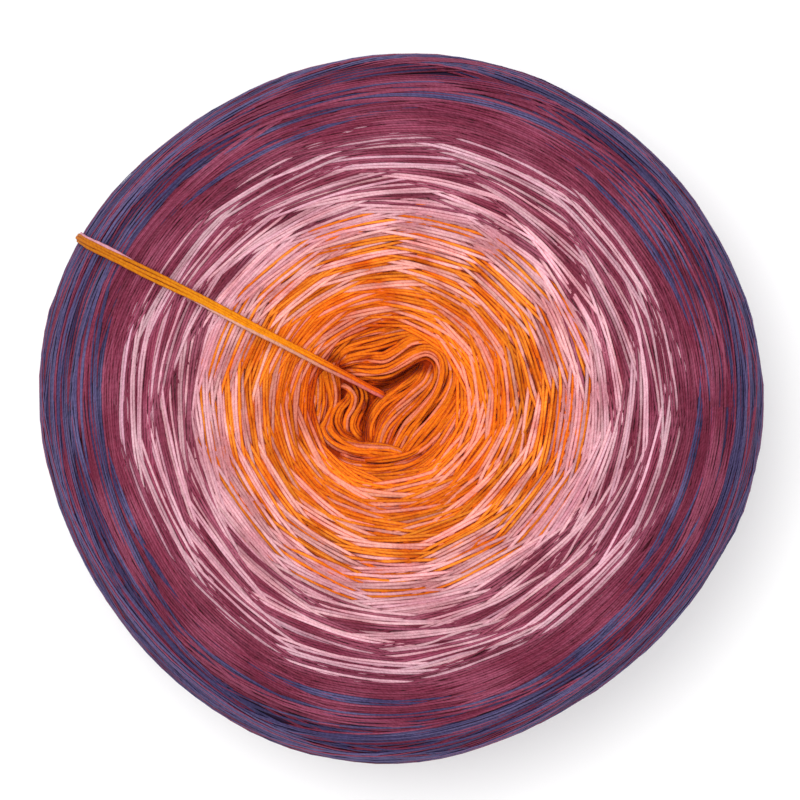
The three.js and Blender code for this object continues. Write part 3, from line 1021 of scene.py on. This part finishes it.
def build_core():
    tubes = TubeMesh("winding_core", 5)
    stride = round(CORE_STEP / bed.CELL)
    for letter, line, lift in bed.strands:
        x, y = line[::stride].T
        column, along = on_chart(x, y)
        bowl = CAKE_HEIGHT - sunk(x, y) - CREASES_SHOW * crease_depth(x, y)
        z = bowl + pressed(lift[::stride], column, along)
        up = np.broadcast_to([0.0, 0.0, 1.0], (len(x), 3))
        # Painted shade in the core's creases and bowl, painted light on raised threads.
        colour = paint_shade_by_height(thread_colour(letter, along), core_level(x, y, lift[::stride]), CORE_DARKENS)
        tubes.add(np.column_stack([x, y, z]), up, colour, CORE_THREAD)
    return tubes.build(yarn)


# The body under the threads: its columns and the pitch of its rows in the core and outside it, how far under
# the threads' bed it lies, how high over the floor it keeps, and how dark and rich its colour is: painted
# shade seen between the threads.
UNDER_COLUMNS = 240
UNDER_STEPS = (0.4, 1.5)
UNDER_GAP = 0.08
UNDER_LOWEST = 0.3
UNDER_PAINTED_SHADE = 0.65
UNDER_RICHNESS = 1.7


def build_under():
    """The wound body under the shown strands, in their colours darkened and enriched as painted shade."""
    fine, coarse = UNDER_STEPS
    outside = np.arange(CORE_EDGE, LENGTH - 1, coarse)
    along = np.concatenate([np.arange(0.3, CORE_EDGE, fine), outside, [LENGTH - 0.5]])
    column = np.arange(UNDER_COLUMNS) * (COLUMNS // UNDER_COLUMNS)
    grid_column, grid_along = np.meshgrid(column, along)
    points, _ = place(grid_column * COLUMN, grid_along, pressed(0, grid_column, grid_along) - UNDER_GAP)
    in_core = (grid_along < CORE_EDGE + 6)[..., None]
    dents = CREASES_SHOW * crease_depth(points[..., 0], points[..., 1])[..., None] * np.array([0, 0, 1])
    points = np.where(in_core, points - dents, points)
    rows = len(along)
    r, c = np.meshgrid(np.arange(rows - 1), np.arange(UNDER_COLUMNS), indexing="ij")
    this, after = r * UNDER_COLUMNS, (r + 1) * UNDER_COLUMNS
    d = (c + 1) % UNDER_COLUMNS
    quads = np.stack([this + c, after + c, after + d, this + d], axis=-1)
    vertices = points.reshape(-1, 3)
    vertices[:, 2] = np.maximum(vertices[:, 2], UNDER_LOWEST)
    mesh = mesh_from("winding_under", vertices * MM, quads.reshape(-1, 4))
    nearest = np.minimum(along, LENGTH - along)
    mixed = np.array([np.mean([colour_at(letter, a) for letter in recipe(a)], axis=0) for a in nearest])
    # Painted shade: the threads' mixed colours, darker and richer.
    add_colour(mesh, np.repeat(mixed**UNDER_RICHNESS * UNDER_PAINTED_SHADE, UNDER_COLUMNS, axis=0))
    back = np.full(UNDER_COLUMNS, 0.25)
    add_ply(mesh, (along * PLY_PITCH)[:, None], back)
    return add_piece(mesh, yarn)


# The loose end, as in the CAD model. Its threads lie close together at the core and side by side over the rim.
END_ROUTE = [
    (-4.2, 2.7, 54.1), (-6, 3.6, 54.6), (-9.5, 5.5, 56), (-12.2, 6.9, 57.6), (-14.8, 8.2, 59.1),
    (-18.4, 10.1, 59.9), (-21.9, 11.9, 61), (-25.5, 13.8, 62.3), (-29, 15.6, 62.7), (-32.6, 17.5, 63.1),
    (-36.1, 19.3, 63), (-39.7, 21.2, 62.9), (-43.2, 23, 62.6), (-46.8, 24.9, 62), (-50.3, 26.7, 61.5),
    (-53.9, 28.6, 60.2), (-57.4, 30.4, 59), (-59.2, 31.3, 57.8), (-61.2, 32.3, 56.1),
    (-63.4, 33.4, 53.6), (-64.9, 34.3, 50.2), (-65.6, 34.7, 46), (-65.7, 34.7, 42), (-66, 34.8, 37),
    (-66.1, 34.9, 32), (-66, 34.8, 27), (-65.8, 34.8, 23), (-65.7, 34.7, 20),
]
END_HIDDEN = [(-3.2, 2.1, 51.6), (-3.7, 2.4, 53.2)]  # its way down in the pit
END_TUCKED = [(-64.9, 34.3, 17.6), (-63.2, 33.4, 15.6), (-61.2, 32.3, 14.4)]  # and in under the outer turns
END_STEP = 0.7
END_THREADS = "PGGG"
END_THREAD_WIDTH = 0.76
END_COLOUR_ALONG = 40  # where in the tables of colours the loose end's are

# Along the end from its start in the pit, in millimetres: the pitch of its threads, the golden threads'
# brightness, and how much of the green and of the blue in every thread's colour is left: painted warm shade
# and reflected light of the core, which redden the end towards the pit.
END_PITCH = {0: 0.24, 9: 0.3, 20: 0.4, 38: 0.46, 48: 0.66, 60: 0.68, 70: 0.62, 75: 0.5, 104: 0.5, 110: 0.3}
END_TONES = {0: 1.02, 20: 1.12, 36: 1.05, 50: 0.86, 64: 0.72, 74: 0.66}
END_GREENS = {0: 0.4, 8: 0.5, 20: 0.85, 45: 1.05, 62: 0.95, 105: 0.85}
END_BLUES = {0: 0.3, 8: 0.35, 20: 0.5, 40: 0.7, 50: 1}

# The pale thread passes under the others from its lane on one side to the other side, and they make room.
PALE_CROSSES = (36, 70)
PALE_LANE = -1.5
PALE_MOVES = 2.8
PALE_DIPS = 1.6
GOLDEN_LANE = 2.5

# How the threads leave one flat row: they sway, the outer ones give way over the rim, in the pit they lie
# two over two, and from there on they lie lower than a round cord's middle.
END_SWAY = 0.1
LANE_PACE = 3.1
LIFT_PACE = 5
RIM_RADII = (58, 66)
RIM_ALONG = (66, 72)
END_ROUNDS = 0.2
PIT_ALONG = (6, 26)
PIT_LIFTS = 0.24
SINK_ALONG = (2, 8)
END_SINKS = 0.3


def along_end(table, distance):
    return np.interp(distance, list(table), list(table.values()))


def build_loose_end():
    line, distance = spline(END_HIDDEN + END_ROUTE + END_TUCKED, END_STEP)
    way = np.gradient(line, axis=0)
    way /= np.linalg.norm(way, axis=1, keepdims=True)
    outward = line * [1, 1, 0] / np.linalg.norm(line[:, :2], axis=1, keepdims=True)
    over_rim = smooth(*RIM_RADII, np.hypot(line[:, 0], line[:, 1]))[:, None]
    normal = np.array([0, 0, 1]) * (1 - over_rim) + outward * over_rim
    across = np.cross(way, normal)
    across /= np.linalg.norm(across, axis=1, keepdims=True)
    normal = np.cross(across, way)
    pitch = along_end(END_PITCH, distance)
    crossed = smooth(*PALE_CROSSES, distance)
    in_pit = 1 - smooth(*PIT_ALONG, distance)
    tubes = TubeMesh("loose_end_threads", 8)
    for number, letter in enumerate(END_THREADS):
        if letter == "P":
            lane = PALE_LANE + PALE_MOVES * crossed
            lift = -PALE_DIPS * crossed * (1 - crossed)
        else:
            lane = GOLDEN_LANE - number - crossed
            lift = END_SWAY * np.sin(distance / LIFT_PACE + 2 * number)
        lane = lane + END_SWAY * np.sin(distance / LANE_PACE + 2 * number)
        lift = lift - END_ROUNDS * lane**2 * smooth(*RIM_ALONG, distance)
        lift = lift + PIT_LIFTS * (-1) ** number * in_pit - END_SINKS * smooth(*SINK_ALONG, distance)
        points = line + across * (lane * pitch)[:, None] + normal * lift[:, None]
        shades = np.ones((len(line), 3))
        # Painted warm shade and reflected light of the core, in the greens and the blues.
        shades[:, 1] = along_end(END_GREENS, distance)
        shades[:, 2] = along_end(END_BLUES, distance)
        if letter == "G":
            shades *= along_end(END_TONES, distance)[:, None]
        tubes.add(points, normal, thread_colour(letter, END_COLOUR_ALONG) * shades, END_THREAD_WIDTH)
    piece = tubes.build(loose_yarn)
    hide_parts("loose_end")
    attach(piece, "root")
    return piece


# The photograph: its width in pixels, where the cake's middle is in it, and its scale at the widest ring.
PHOTO_WIDTH_PX = 800
CAKE_CENTRE_PX = (401, 407)
MM_PER_PX = 0.2055
CAMERA_HEIGHT = 900

# The studio, in metres.
WORLD_LIGHT = 1.15
KEY_PLACE = (-0.35, 0.32, 1.4)
KEY_SIZE = 0.8
KEY_POWER = 8
FLOOR_REACH = 4
FLOOR_WHITE = (0.97, 0.97, 0.97, 1)


def add_camera():
    camera = bpy.data.objects.new("camera", bpy.data.cameras.new("camera"))
    bpy.context.scene.collection.objects.link(camera)
    middle = PHOTO_WIDTH_PX / 2
    right = (middle - CAKE_CENTRE_PX[0]) * MM_PER_PX
    up = (CAKE_CENTRE_PX[1] - middle) * MM_PER_PX
    camera.location = Vector((right, up, CAMERA_HEIGHT)) * MM
    away = CAMERA_HEIGHT - MIDDLE_HEIGHT
    camera.data.lens = camera.data.sensor_width * away / (PHOTO_WIDTH_PX * MM_PER_PX)
    bpy.context.scene.camera = camera


def add_key_light():
    light = bpy.data.objects.new("key", bpy.data.lights.new("key", "AREA"))
    bpy.context.scene.collection.objects.link(light)
    light.location = KEY_PLACE
    light.rotation_euler = (-Vector(KEY_PLACE)).to_track_quat("-Z", "Y").to_euler()
    light.data.shape = "DISK"
    light.data.size = KEY_SIZE
    light.data.energy = KEY_POWER


def add_floor():
    corners = FLOOR_REACH * np.array([(-1, -1, 0), (1, -1, 0), (1, 1, 0), (-1, 1, 0)])
    white = bpy.data.materials.new("floor_white")
    white.use_nodes = True
    set_inputs(white.node_tree.nodes["Principled BSDF"], {"Base Color": FLOOR_WHITE, "Roughness": 0.9})
    add_piece(mesh_from("floor", corners, np.array([[0, 1, 2, 3]])), white)


def add_studio():
    scene = bpy.context.scene
    scene.view_settings.view_transform = "Standard"
    world = bpy.data.worlds.new("studio")
    world.use_nodes = True
    set_inputs(world.node_tree.nodes["Background"], {"Color": (1, 1, 1, 1), "Strength": WORLD_LIGHT})
    scene.world = world
    add_key_light()
    add_floor()


add_camera()
build_loose_end()
wound = build_windings() + [build_core(), build_under()]
for piece in wound:
    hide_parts("wound_cake")
    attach(piece, "root")
add_studio()
